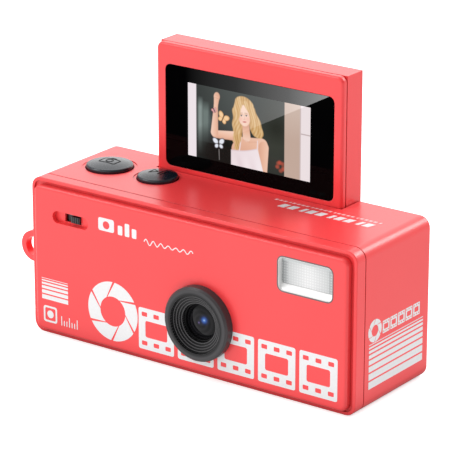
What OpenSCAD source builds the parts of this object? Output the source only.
// Palm-size digital camera with a hinged screen that stands above the body or folds
// into the back. Millimetres, +Z up. Origin: centre of the flat base, half way through
// the depth. The lens looks along -Y.

/* [Body] */
// Width of the body
body_w = 58.5; // [58.2:0.1:59.2]
// Height of the body
body_h = 24.7; // [24.4:0.1:25.2]
// Wall thickness of the two shells
wall = 1.1; // [1:0.05:1.2]
// Corner radius of the body's front outline
corner_r = 1.72; // [1.6:0.02:2.2]
// Edge fillet round the back of the body
edge_r = 0.47; // [0.3:0.01:0.6]
// How far the front plate stands out of its rim
plate_step = 0.9; // [0.75:0.01:0.95]
// Width of the shadow line where the two shells meet
seam_w = 0.2; // [0.1:0.01:0.25]

/* [Screen] */
// Height of the raised screen above the body
screen_rise = 19.65; // [19:0.05:20.5]
// Thickness of the screen housing
screen_t = 5.07; // [5:0.01:5.1]
// Gap between the screen housing and its bay
bay_gap = 0.15; // [0.12:0.01:0.2]
// Radius of the hinge pins
pin_r = 0.9; // [0.8:0.01:0.95]
// Radial running clearance at the hinge pins
pin_play = 0.03; // [0.02:0.01:0.06]

/* [Lens and flash] */
// Outer radius of the lens ring
ring_r = 5.68; // [5.3:0.01:5.8]
// How far the lens ring stands out of the front plate
ring_out = 1.6; // [1.3:0.01:1.7]
// Width of the flash window
flash_w = 9.5; // [9:0.1:9.8]
// Height of the flash window
flash_h = 5.35; // [5:0.05:5.6]

/* [Controls] */
// Radius of the shutter button
shutter_r = 3.6; // [3.4:0.01:3.7]
// Radius of the mode button
mode_r = 3.1; // [2.9:0.01:3.2]
// Press travel of the top buttons
press = 0.5; // [0.3:0.05:0.55]
// Travel of the power slider
slide = 1.4; // [1:0.05:1.42]
// Radius of the rear keys
key_r = 1.6; // [1.4:0.01:1.7]

/* [Strap eye] */
// Hole radius of the strap eye
eye_r = 1.55; // [1.4:0.01:1.6]
// Thickness of the strap eye
eye_t = 1.3; // [1.1:0.05:1.5]

/* [Hidden] */
$fn = 64;
eps = 0.02;
front_y = -10;
rim_y = front_y + plate_step;
part_y = -7.05;
back_y = 10.05;
web_y = -8.8;
web_t = 0.8;
plate_in = 1.02;
plate_low = 0.78;
plate_gap = 0.5;
plate_edge = 0.5;
plate_r = 1.1;
rim_edge = 0.15;
screen_x0 = -16.44;
screen_x1 = 16.95;
screen_cx = (screen_x0 + screen_x1) / 2;
screen_w = screen_x1 - screen_x0;
screen_y0 = 5.18;
screen_y1 = screen_y0 + screen_t;
axis_y = screen_y0 + screen_t / 2;
axis_z = body_h - screen_t / 2;
bay_x0 = screen_x0 - bay_gap;
bay_x1 = screen_x1 + bay_gap;
bay_y = screen_y0 - bay_gap;
bezel_t = 1;
bezel_edge = 0.47;
bezel_r = 1;
seam = 0.22;
glass_x0 = -14.82;
glass_x1 = 15.56;
glass_z0 = body_h + 0.71;
glass_z1 = body_h + 16.57;
lcd_x0 = -10.64;
lcd_x1 = 11.40;
lcd_z0 = body_h + 2.98;
lcd_z1 = body_h + 14.27;
lens_x = 2.95;
lens_z = 8.78;
barrel_r = 3.5;
bore_r = 3;
lens_r = 2.76;
lens_y = -10.05;
flash_x = 21.1;
flash_z = 19.35;
flash_y = -9.15;
flash_back = -8.45;
flash_sill = 1.0;
flash_r = 1;
flash_lip = 0.2;
pocket_x = -21.2;
pocket_z = 19.4;
pocket_w = 6.8;
pocket_h = 1.9;
pocket_deep = 0.75;
slot_x0 = -22.75;
slot_x1 = -19.7;
slot_h = 1.3;
knob_slack = 0.35;
knob_w = slot_x1 - slot_x0 - slide - 0.1;
knob_x1 = slot_x1 - 0.05;
tongue_w = 1;
tongue_y = -5.6;
shutter_x = -22.4;
mode_x = -13.3;
button_y = 1.12;
switch_top = 21;
stem_gap = 0.12;
key_x = -22.7;
key_z0 = 5.2;
key_step = 4.4;
keys = 3;
bush_r = 1.45;
eye_x = -31.5;
eye_y = -5.6;
eye_z = 12.1;
eye_wall = 0.9;
usb_y = 0.86;
side_z = 12;
card_y = -2.3;
board_y = -1.6;
board_t = 0.8;
screw_x = 26.2;
screw_mid = 13.2;
screw_low = 3;
screw_high = 21.6;
screw_tip = -3.5;
post_x = 15.4;
post_z = 3.2;

// ---------- shared shapes ----------

module outline(w, h, r) {
    square([w - 2 * r, h], center = true);
    square([w, h - 2 * r], center = true);
    for (sx = [-1, 1], sy = [-1, 1])
        translate([sx * (w / 2 - r), sy * (h / 2 - r)])
            circle(r = r);
}

// Rounded block running along Y from y0 to y1, centred on cx, cz
module block_y(w, h, r, y0, y1, cx, cz) {
    translate([cx, y1, cz])
        rotate([90, 0, 0])
            linear_extrude(y1 - y0)
                outline(w, h, r);
}

module rod_y(r, y0, y1, x, z) {
    translate([x, y1, z])
        rotate([90, 0, 0])
            cylinder(r = r, h = y1 - y0);
}

module rod_x(r, x0, x1, y, z) {
    translate([x0, y, z])
        rotate([0, 90, 0])
            cylinder(r = r, h = x1 - x0);
}

module box(x0, x1, y0, y1, z0, z1) {
    translate([x0, y0, z0])
        cube([x1 - x0, y1 - y0, z1 - z0]);
}

// Plate in XY whose lower face, at z = 0, has a rounded edge of radius f
module soft_plate(w, h, t, r, f) {
    translate([0, 0, f])
        linear_extrude(t - f)
            outline(w, h, r);
    linear_extrude(t)
        outline(w - 2 * f, h - 2 * f, r - f);
    for (sx = [-1, 1], sy = [-1, 1])
        translate([sx * (w / 2 - r), sy * (h / 2 - r), f])
            rotate_extrude()
                translate([r - f, 0])
                    circle(r = f, $fn = 24);
    for (s = [-1, 1]) {
        translate([-(w / 2 - r), s * (h / 2 - f), f])
            rotate([0, 90, 0])
                cylinder(r = f, h = w - 2 * r);
        translate([s * (w / 2 - f), h / 2 - r, f])
            rotate([90, 0, 0])
                cylinder(r = f, h = h - 2 * r);
    }
}

// The same plate stood up with its soft face towards -Y at y0
module soft_front(w, h, t, r, f, y0, cx, cz) {
    translate([cx, y0, cz])
        rotate([-90, 0, 0])
            soft_plate(w, h, t, r, f);
}

// The same plate stood up with its soft face towards +Y at y1
module soft_back(w, h, t, r, f, y1, cx, cz) {
    translate([cx, y1, cz])
        rotate([90, 0, 0])
            soft_plate(w, h, t, r, f);
}

// ---------- body shells ----------

module screw_sites() {
    for (at = [[-screw_x, screw_low], [screw_x, screw_low], [-screw_x, screw_high], [screw_mid, screw_high]])
        translate([at[0], 0, at[1]])
            children();
}

module front_shell() {
    lip_t = 0.5;
    lip_deep = 0.8;
    play = 0.05;
    pad = 3.6;
    head_r = 1.35;
    head_deep = 0.65;
    shank_r = 0.78;
    cz = body_h / 2;
    color([0.93, 0.24, 0.27])
        difference() {
            union() {
                difference() {
                    union() {
                        soft_front(body_w, body_h, part_y - rim_y, corner_r, rim_edge, rim_y, 0, cz);
                        block_y(body_w - 2 * (wall + play), body_h - 2 * (wall + play), 0.6,
                                part_y - eps, part_y + lip_deep, 0, cz);
                    }
                    block_y(body_w - 2 * (wall + play + lip_t), body_h - 2 * (wall + play + lip_t),
                            0.4, web_y + web_t, part_y + lip_deep + 1, 0, cz);
                }
                screw_sites()
                    translate([-pad / 2, web_y + eps, -pad / 2])
                        cube([pad, part_y - web_y - 0.1, pad]);
            }
            block_y(body_w - 2 * (plate_in - plate_gap), body_h - 2 * (plate_in - plate_gap),
                    corner_r - plate_in + plate_gap, rim_y - 1, web_y, 0, cz);
            rod_y(barrel_r + 1.7, web_y - 1, part_y + 1, lens_x, lens_z);
            box(flash_x - flash_w / 2 - 0.2, flash_x + flash_w / 2 + 0.2, web_y - 1, part_y + 2,
                flash_z - flash_h / 2 - 0.2, flash_z + flash_h / 2 + 0.2);
            box(pocket_x - 3.6, pocket_x + 3.6, web_y - 1, web_y + 1,
                pocket_z - 2.4, pocket_z + 1.9);
            screw_sites() {
                rod_y(shank_r, web_y - 1, part_y + 2, 0, 0);
                rod_y(head_r, web_y - 1, web_y + head_deep, 0, 0);
            }
        }
}

module front_plate() {
    w = body_w - 2 * plate_in;
    h = body_h - plate_in - plate_low;
    cz = plate_low + h / 2;
    color([0.95, 0.26, 0.28])
        difference() {
            soft_front(w, h, web_y - front_y, plate_r, plate_edge, front_y, 0, cz);
            rod_y(ring_r - 0.55, front_y - 1, web_y + 1, lens_x, lens_z);
            block_y(flash_w, flash_h, flash_r, front_y - 1, web_y + 1, flash_x, flash_z);
            block_y(pocket_w, pocket_h, pocket_h / 2 - 0.01, front_y - 1, front_y + pocket_deep,
                    pocket_x, pocket_z);
            box(slot_x0, slot_x1, front_y - 1, web_y + 1,
                pocket_z - slot_h / 2, pocket_z + slot_h / 2);
        }
}

module rear_shell() {
    cz = body_h / 2;
    d = back_y - part_y;
    in_w = body_w - 2 * wall;
    in_h = body_h - 2 * wall;
    bay_wall = 1;
    cheek = 1.2;
    boss_r = 2.4;
    boss_l = 3.2;
    well = 0.12;
    block_w = 4.8;
    flange = 0.47;
    seam_deep = 0.25;
    dish = 0.1;
    dish_rim = 0.58;
    color([0.9, 0.22, 0.25])
        difference() {
            union() {
                difference() {
                    soft_back(body_w, body_h, d, corner_r, edge_r, back_y, 0, cz);
                    block_y(in_w, in_h, 0.6, part_y - 1, bay_y - bay_wall, 0, cz);
                    // hollow of the left and right cheeks
                    box(-in_w / 2, bay_x0 - cheek, 0, back_y - wall, wall, body_h - wall);
                    box(bay_x1 + cheek, in_w / 2, 0, back_y - wall, wall, body_h - wall);
                }
                // hinge bosses
                rod_x(boss_r, bay_x0 - boss_l, bay_x0 - eps, axis_y, axis_z);
                rod_x(boss_r, bay_x1 + eps, bay_x1 + boss_l, axis_y, axis_z);
                // blocks that the shell screws run into
                screw_sites()
                    translate([-block_w / 2, part_y + 0.9, -block_w / 2])
                        cube([block_w, screw_tip + 0.4 - part_y - 0.9, block_w]);
                // posts for the main board
                for (sx = [-1, 1])
                    rod_y(1.2, board_y + board_t, bay_y - bay_wall + eps, sx * post_x, post_z);
                strap_eye();
            }
            // bay that takes the folded screen
            box(bay_x0, bay_x1, bay_y, back_y + 1, -1, body_h + 1);
            rod_x(bush_r, bay_x0 - 2.6, bay_x0 + 1, axis_y, axis_z);
            rod_x(bush_r, bay_x1 - 1, bay_x1 + 2.6, axis_y, axis_z);
            // top buttons
            translate([shutter_x, button_y, body_h - wall - 1])
                cylinder(r = shutter_r + well, h = wall + 3);
            translate([mode_x, button_y, body_h - wall - 1])
                cylinder(r = mode_r + well, h = wall + 3);
            // rear keys
            for (i = [0 : keys - 1])
                rod_y(key_r + well, back_y - 3, back_y + 1, key_x, key_z0 + i * key_step);
            // speaker grille
            for (i = [-2 : 2], j = [-2 : 2])
                rod_y(0.35, back_y - 3, back_y + 1, 23 + i * 1.3, 9 + j * 1.3);
            // socket and card openings in the side
            translate([-body_w / 2 + 1.5, usb_y, side_z])
                rotate([0, -90, 0])
                    linear_extrude(3)
                        outline(9.1, 3.4, 1.65);
            box(-body_w / 2 - 1, -body_w / 2 + 1.5, card_y - 0.55, card_y + 0.55,
                side_z - 5.7, side_z + 5.7);
            // microphone hole
            translate([-10, -4, -1])
                cylinder(r = 0.4, h = 3);
            // room for the flanges under the top buttons
            translate([shutter_x, button_y, body_h - wall - 1.3])
                cylinder(r = shutter_r + flange, h = 1.3);
            translate([mode_x, button_y, body_h - wall - 1.3])
                cylinder(r = mode_r + flange, h = 1.3);
            screw_sites()
                rod_y(0.72, part_y - 1, screw_tip + 0.2, 0, 0);
            // shadow line where the shells meet
            difference() {
                block_y(body_w + 1, body_h + 1, corner_r, part_y - 1, part_y + seam_w, 0, cz);
                block_y(body_w - 2 * seam_deep, body_h - 2 * seam_deep, corner_r - seam_deep,
                        part_y - 2, part_y + 1, 0, cz);
            }
            // shallow dishes round the top buttons
            translate([shutter_x, button_y, body_h - dish])
                cylinder(r = shutter_r + dish_rim, h = 1);
            translate([mode_x, button_y, body_h - dish])
                cylinder(r = mode_r + dish_rim, h = 1);
            for (sx = [-1, 1])
                rod_y(0.62, board_y, 2.6, sx * post_x, post_z);
            rod_y(eye_r, eye_y - eye_t, eye_y + eye_t, eye_x, eye_z);
        }
}

module strap_eye() {
    reach = -body_w / 2 - eye_x + 0.4;
    rod_y(eye_r + eye_wall, eye_y - eye_t / 2, eye_y + eye_t / 2, eye_x, eye_z);
    translate([eye_x, eye_y - eye_t / 2, eye_z - 1.6])
        cube([reach, eye_t, 3.2]);
}

module shell_screws() {
    color([0.7, 0.7, 0.72])
        screw_sites() {
            difference() {
                rod_y(1.25, web_y + 0.1, web_y + 0.6, 0, 0);
                box(-0.75, 0.75, web_y, web_y + 0.35, -0.15, 0.15);
                box(-0.15, 0.15, web_y, web_y + 0.35, -0.75, 0.75);
            }
            rod_y(0.7, web_y + 0.5, screw_tip, 0, 0);
        }
}

// ---------- lens ----------

module lens_ring() {
    steps = 4;
    top_r = 4.45;
    deep = 1.0;
    first = 0.42;
    rise = (deep - first) / (steps - 1);
    run = (top_r - bore_r) / steps;
    color([0.13, 0.13, 0.14])
        difference() {
            union() {
                translate([lens_x, front_y, lens_z])
                    rotate([90, 0, 0])
                        rotate_extrude($fn = 96)
                            polygon([[bore_r, -web_t - 0.4], [ring_r - 0.6, -web_t - 0.4],
                                     [ring_r - 0.6, 0], [ring_r, 0], [ring_r, ring_out - 0.35],
                                     [ring_r - 0.3, ring_out], [bore_r, ring_out]]);
            }
            for (i = [0 : steps - 1])
                rod_y(top_r - i * run, front_y - ring_out - 1,
                      front_y - ring_out + first + i * rise, lens_x, lens_z);
        }
}

module lens_barrel() {
    color([0.08, 0.08, 0.09])
        difference() {
            union() {
                rod_y(barrel_r, web_y + 0.05, -3.2, lens_x, lens_z);
                rod_y(bore_r - 0.03, lens_y - 0.05, web_y + 0.1, lens_x, lens_z);
            }
            rod_y(lens_r + 0.02, lens_y - 1, -6, lens_x, lens_z);
            rod_y(1.6, -6.5, -2, lens_x, lens_z);
        }
}

module front_lens() {
    ball = 7;
    color([0.1, 0.14, 0.3])
        intersection() {
            rod_y(lens_r, lens_y - 1, lens_y + 1.2, lens_x, lens_z);
            translate([lens_x, lens_y - 0.1 + ball, lens_z])
                sphere(r = ball, $fn = 96);
        }
}

module sensor_board() {
    color([0.08, 0.32, 0.16])
        box(lens_x - 5, lens_x + 5, -3.18, -2.6, lens_z - 5, lens_z + 5);
}

module image_sensor() {
    color([0.15, 0.16, 0.25])
        box(lens_x - 1.1, lens_x + 1.1, -3.9, -3.2, lens_z - 0.9, lens_z + 0.9);
}

// ---------- flash ----------

// White surround whose lower face slopes in to the window
module flash_frame() {
    play = 0.03;
    low = flash_z - flash_h / 2;
    high = flash_z + flash_h / 2;
    half_w = flash_w / 2 - flash_lip;
    color([0.95, 0.95, 0.95])
        difference() {
            block_y(flash_w - 2 * play, flash_h - 2 * play, flash_r - play, front_y + play, flash_back,
                    flash_x, flash_z);
            intersection() {
                block_y(2 * half_w, flash_h - 2 * flash_lip, flash_r - flash_lip, front_y - 1,
                        flash_back + 1, flash_x, flash_z);
                translate([flash_x - half_w, 0, 0])
                    rotate([90, 0, 90])
                        linear_extrude(2 * half_w)
                            polygon([[front_y - 2, low + 0.1], [front_y, low + 0.1],
                                     [flash_y, low + flash_sill], [flash_back + 2, low + flash_sill],
                                     [flash_back + 2, high], [front_y - 2, high]]);
            }
        }
}

module flash_window() {
    play = 0.04;
    low = flash_z - flash_h / 2 + flash_sill + play;
    high = flash_z + flash_h / 2 - flash_lip - play;
    ribs = 9;
    rib_deep = 0.12;
    rib_w = 0.3;
    inset = flash_lip + play;
    left = flash_x - flash_w / 2 + inset;
    right = flash_x + flash_w / 2 - inset;
    pitch = (right - left) / ribs;
    color([0.92, 0.93, 0.95, 0.6])
        difference() {
            intersection() {
                box(left, right, flash_y + 0.02, flash_back, low, high);
                block_y(right - left, flash_h - 2 * inset, flash_r - inset, flash_y - 1, flash_back + 1,
                        flash_x, flash_z);
            }
            for (i = [1 : ribs - 1])
                box(left + i * pitch - rib_w / 2, left + i * pitch + rib_w / 2,
                    flash_back - rib_deep, flash_back + 1, low + 0.4, high - 0.4);
        }
}

module flash_reflector() {
    y0 = flash_back + 0.03;
    y1 = -5.4;
    color([0.96, 0.96, 0.95])
        difference() {
            box(flash_x - flash_w / 2, flash_x + flash_w / 2, y0, y1,
                flash_z - flash_h / 2, flash_z + flash_h / 2);
            box(flash_x - flash_w / 2 + 0.5, flash_x + flash_w / 2 - 0.5, y0 - 1, y0 + 1.2,
                flash_z - flash_h / 2 + 0.5, flash_z + flash_h / 2 - 0.5);
            translate([flash_x, y1 + 1, flash_z])
                rotate([90, 0, 0])
                    cylinder(r1 = 1.6, r2 = 2.1, h = y1 - y0 + 0.5);
        }
}

module flash_led() {
    color([0.95, 0.85, 0.3])
        box(flash_x - 1, flash_x + 1, -5.9, -5.38, flash_z - 1, flash_z + 1);
}

module flash_board() {
    color([0.08, 0.32, 0.16])
        box(flash_x - 5.4, flash_x + 4.2, -5.36, -4.76, flash_z - 3.4, flash_z + 2.8);
}

// ---------- controls ----------

module power_slider() {
    ribs = 4;
    pitch = knob_w / (ribs + 0.5);
    knob_h = slot_h - knob_slack;
    flange_t = 0.6;
    y0 = front_y + 0.35;
    nub_x = knob_x1 - knob_w / 2;
    color([0.2, 0.2, 0.21])
        union() {
            difference() {
                box(knob_x1 - knob_w, knob_x1, y0, web_y + 0.1,
                    pocket_z - knob_h / 2, pocket_z + knob_h / 2);
                for (i = [1 : ribs])
                    box(knob_x1 - knob_w + i * pitch - 0.08, knob_x1 - knob_w + i * pitch + 0.08,
                        y0 - 1, y0 + 0.15, pocket_z - 1, pocket_z + 1);
            }
            box(nub_x - 2, nub_x + 1.6, web_y + 0.04, web_y + flange_t,
                pocket_z - 2.2, pocket_z + 1.2);
            box(nub_x - tongue_w / 2, nub_x + tongue_w / 2, web_y + flange_t - eps, tongue_y,
                pocket_z - 2.1, pocket_z - 1.3);
        }
}

module slide_switch() {
    nub_x = knob_x1 - knob_w / 2;
    color([0.6, 0.6, 0.62])
        difference() {
            box(nub_x - 3.2, nub_x + 1.9, -6.4, -3.4, 16.2, 18.98);
            box(nub_x - tongue_w / 2 - slide - 0.2, nub_x + tongue_w / 2 + 0.2, -7, tongue_y + 0.2,
                pocket_z - 2.25, pocket_z - 1.15);
        }
}

// Round top button: domed cap with a rounded edge, skirt, retaining flange and stem
module top_button(x, r, stem_bottom) {
    rise = 0.5;
    crown = 0.42;
    soft = 0.35;
    dome_r = r - soft;
    ball = (dome_r * dome_r + crown * crown) / (2 * crown);
    flange = 0.35;
    under = body_h - wall - 0.05;
    top = body_h + rise;
    translate([x, button_y, 0]) {
        translate([0, 0, under - 0.5])
            cylinder(r = r, h = top - soft - under + 0.5);
        translate([0, 0, top - soft])
            rotate_extrude()
                translate([dome_r, 0])
                    circle(r = soft, $fn = 32);
        translate([0, 0, top - soft - eps])
            cylinder(r = dome_r, h = soft + eps);
        intersection() {
            translate([0, 0, top - eps])
                cylinder(r = dome_r, h = crown + 1);
            translate([0, 0, top + crown - ball])
                sphere(r = ball, $fn = 128);
        }
        translate([0, 0, under - 0.5])
            cylinder(r = r + flange, h = 0.5);
        translate([0, 0, stem_bottom])
            cylinder(r = 0.9, h = under - 0.4 - stem_bottom);
    }
}

module shutter_button() {
    color([0.17, 0.18, 0.19])
        top_button(shutter_x, shutter_r, switch_top + press + stem_gap);
}

module mode_button() {
    color([0.17, 0.18, 0.19])
        top_button(mode_x, mode_r, switch_top + press + stem_gap);
}

module tact_switches() {
    color([0.75, 0.75, 0.77])
        for (x = [shutter_x, mode_x])
            translate([x, button_y, 0]) {
                translate([-1.5, -1.5, 19.62])
                    cube([3, 3, 0.8]);
                translate([0, 0, 20.4])
                    cylinder(r = 0.8, h = 0.6);
            }
}

module control_board() {
    color([0.08, 0.32, 0.16])
        union() {
            box(-26.4, -9.6, -2.4, 3.7, 19, 19.6);
            box(-23.2, -17, -6.6, -2.38, 19, 19.6);
        }
}

module rear_key(i) {
    z = key_z0 + i * key_step;
    crown = 0.25;
    ball = (key_r * key_r + crown * crown) / (2 * crown);
    color([0.17, 0.18, 0.19])
        union() {
            rod_y(key_r, back_y - wall - 0.45, back_y + 0.2, key_x, z);
            rod_y(key_r + 0.35, back_y - wall - 0.45, back_y - wall - 0.05, key_x, z);
            rod_y(0.6, 7.35, back_y - wall - 0.4, key_x, z);
            intersection() {
                rod_y(key_r, back_y + 0.18, back_y + 1, key_x, z);
                translate([key_x, back_y + 0.2 + crown - ball, z])
                    sphere(r = ball, $fn = 96);
            }
        }
}

module rear_keys_up() {
    rear_key(2);
}

module rear_keys_ok() {
    rear_key(1);
}

module rear_keys_down() {
    rear_key(0);
}

module key_board() {
    color([0.08, 0.32, 0.16])
        box(key_x - 3, key_x + 3, 5.4, 6, key_z0 - 2.2, key_z0 + (keys - 1) * key_step + 2.2);
}

module key_switches() {
    color([0.75, 0.75, 0.77])
        for (i = [0 : keys - 1])
            translate([key_x, 0, key_z0 + i * key_step]) {
                box(-1.4, 1.4, 6.02, 6.6, -1.4, 1.4);
                rod_y(0.6, 6.58, 6.85, 0, 0);
            }
}

// ---------- inside the body ----------

module main_board() {
    color([0.06, 0.28, 0.14])
        difference() {
            box(-26.6, 26.6, board_y, board_y + board_t, 5.6, 18.9);
            box(-30, -25.6, board_y - 1, board_y + 2, 17.6, 20);
        }
    color([0.06, 0.28, 0.14])
        difference() {
            box(-18.6, 18.6, board_y, board_y + board_t, 1.6, 5.62);
            for (sx = [-1, 1])
                rod_y(0.7, board_y - 1, board_y + 2, sx * post_x, post_z);
        }
}

module processor() {
    color([0.12, 0.12, 0.13])
        box(10.5, 17.5, board_y - 1.02, board_y - 0.02, 8, 15);
}

module memory_chip() {
    color([0.12, 0.12, 0.13])
        box(-9.5, -4.5, board_y - 0.92, board_y - 0.02, 12, 18);
}

module battery() {
    color([0.75, 0.77, 0.8])
        box(-13.8, 14, -0.75, 3.4, 1.5, 18.9);
}

module usb_port() {
    x0 = -body_w / 2 + 0.35;
    color([0.75, 0.76, 0.78])
        difference() {
            translate([x0, usb_y, side_z])
                rotate([0, 90, 0])
                    linear_extrude(7.3)
                        outline(8.9, 3.2, 1.55);
            translate([x0 - 1, usb_y, side_z])
                rotate([0, 90, 0])
                    linear_extrude(7)
                        outline(8.3, 2.6, 1.25);
        }
    color([0.1, 0.1, 0.1])
        box(x0 + 1, x0 + 6.2, usb_y - 0.35, usb_y + 0.35, side_z - 3.3, side_z + 3.3);
}

module card_socket() {
    x0 = -body_w / 2 + wall + 0.1;
    color([0.72, 0.73, 0.75])
        difference() {
            box(x0, x0 + 14, card_y - 0.68, card_y + 0.68, side_z - 6.1, side_z + 6.1);
            box(x0 - 1, x0 + 13, card_y - 0.5, card_y + 0.4, side_z - 5.55, side_z + 5.55);
        }
}

module speaker() {
    color([0.3, 0.3, 0.32])
        union() {
            rod_y(4, 6.6, back_y - wall - 0.15, 23, 9);
            rod_y(2.4, 5.6, 6.62, 23, 9);
        }
}

module microphone() {
    color([0.7, 0.6, 0.3])
        box(-11.5, -8.5, -5, -3, wall + 0.1, wall + 1.2);
}

module board_screws() {
    color([0.7, 0.7, 0.72])
        for (sx = [-1, 1])
            translate([sx * post_x, 0, post_z]) {
                difference() {
                    rod_y(1.1, board_y - 0.5, board_y - 0.02, 0, 0);
                    box(-0.7, 0.7, board_y - 1, board_y - 0.3, -0.13, 0.13);
                    box(-0.13, 0.13, board_y - 1, board_y - 0.3, -0.7, 0.7);
                }
                rod_y(0.6, board_y - 0.1, 2.2, 0, 0);
            }
}

// ---------- hinge and screen ----------

module hinge_bushes() {
    color([0.8, 0.65, 0.3])
        for (s = [0, 1])
            difference() {
                rod_x(bush_r - 0.02, s == 0 ? bay_x0 - 2.5 : bay_x1 + 0.02,
                      s == 0 ? bay_x0 - 0.02 : bay_x1 + 2.5, axis_y, axis_z);
                rod_x(pin_r + pin_play, s == 0 ? bay_x0 - 3 : bay_x1 - 1,
                      s == 0 ? bay_x0 + 1 : bay_x1 + 3, axis_y, axis_z);
            }
}

module hinge_pins() {
    color([0.75, 0.76, 0.78])
        union() {
            rod_x(pin_r, bay_x0 - 2.2, screen_x0 + 2.5, axis_y, axis_z);
            rod_x(pin_r, screen_x1 - 2.5, bay_x1 + 2.2, axis_y, axis_z);
        }
}

module screen_cover() {
    top = body_h + screen_rise;
    y0 = screen_y0 + bezel_t + seam;
    side = 1.2;
    skin = 0.95;
    color([0.93, 0.24, 0.27])
        difference() {
            union() {
                box(screen_x0, screen_x1, y0, screen_y1, axis_z, top);
                rod_x(screen_t / 2, screen_x0, screen_x1, axis_y, axis_z);
                // step that carries the bezel
                box(screen_x0 + 0.5, screen_x1 - 0.5, screen_y0 + bezel_t, y0 + 0.1,
                    axis_z + 0.6, top - 0.5);
            }
            box(screen_x0 + side, screen_x1 - side, screen_y0 - 1, screen_y1 - skin,
                body_h + 0.3, top - side);
            box(screen_x0 - 1, screen_x1 + 1, screen_y0 - 1, screen_y0 + bezel_t + 0.03,
                axis_z, top);
            rod_x(pin_r + 0.01, screen_x0 - 1, screen_x0 + 2.6, axis_y, axis_z);
            rod_x(pin_r + 0.01, screen_x1 - 2.6, screen_x1 + 1, axis_y, axis_z);
            for (x = [screen_x0 + 4, screen_x1 - 4]) {
                rod_y(0.6, screen_y1 - 3, screen_y1 + 1, x, top - 2.4);
                rod_y(1.05, screen_y1 - 0.45, screen_y1 + 1, x, top - 2.4);
            }
        }
}

module screen_bezel() {
    z0 = axis_z + 0.05;
    z1 = body_h + screen_rise;
    color([0.95, 0.26, 0.28])
        difference() {
            soft_front(screen_w, z1 - z0, bezel_t, bezel_r, bezel_edge, screen_y0, screen_cx, (z0 + z1) / 2);
            block_y(glass_x1 - glass_x0, glass_z1 - glass_z0, 1, screen_y0 - 1,
                    screen_y0 + 2, (glass_x0 + glass_x1) / 2, (glass_z0 + glass_z1) / 2);
        }
}

module screen_glass() {
    gap = 0.06;
    color([0.02, 0.02, 0.03])
        block_y(glass_x1 - glass_x0 - 2 * gap, glass_z1 - glass_z0 - 2 * gap, 0.95,
                screen_y0 + 0.04, screen_y0 + 0.74,
                (glass_x0 + glass_x1) / 2, (glass_z0 + glass_z1) / 2);
}

module lcd_panel() {
    margin = 1.2;
    color([0.3, 0.32, 0.36])
        box(lcd_x0 - margin, lcd_x1 + margin, screen_y0 + 0.76, screen_y0 + 1.76,
            lcd_z0 - margin - 0.8, lcd_z1 + margin);
}

module backlight() {
    margin = 1.6;
    color([0.92, 0.92, 0.9])
        box(lcd_x0 - margin, lcd_x1 + margin, screen_y0 + 1.78, screen_y0 + 2.7,
            lcd_z0 - margin - 0.7, lcd_z1 + margin);
}

module screen_board() {
    color([0.08, 0.32, 0.16])
        box(-13.8, 14.4, screen_y0 + 2.75, screen_y0 + 3.35, body_h + 0.8, body_h + 14.5);
}

module screen_screws() {
    color([0.7, 0.7, 0.72])
        for (x = [screen_x0 + 4, screen_x1 - 4])
            translate([x, 0, body_h + screen_rise - 2.4]) {
                difference() {
                    rod_y(0.98, screen_y1 - 0.42, screen_y1 - 0.03, 0, 0);
                    box(-0.6, 0.6, screen_y1 - 0.2, screen_y1 + 1, -0.12, 0.12);
                    box(-0.12, 0.12, screen_y1 - 0.2, screen_y1 + 1, -0.6, 0.6);
                }
                rod_y(0.55, screen_y1 - 2.2, screen_y1 - 0.3, 0, 0);
            }
}

// ---------- nodes ----------

front_shell();
front_plate();
rear_shell();
lens_ring();
lens_barrel();
front_lens();
sensor_board();
image_sensor();
flash_frame();
flash_window();
flash_reflector();
flash_led();
flash_board();
power_slider();
slide_switch();
shutter_button();
mode_button();
tact_switches();
control_board();
rear_keys_up();
rear_keys_ok();
rear_keys_down();
key_board();
key_switches();
main_board();
processor();
memory_chip();
battery();
usb_port();
card_socket();
speaker();
microphone();
shell_screws();
board_screws();
hinge_bushes();
hinge_pins();
screen_cover();
screen_bezel();
screen_glass();
lcd_panel();
backlight();
screen_board();
screen_screws();
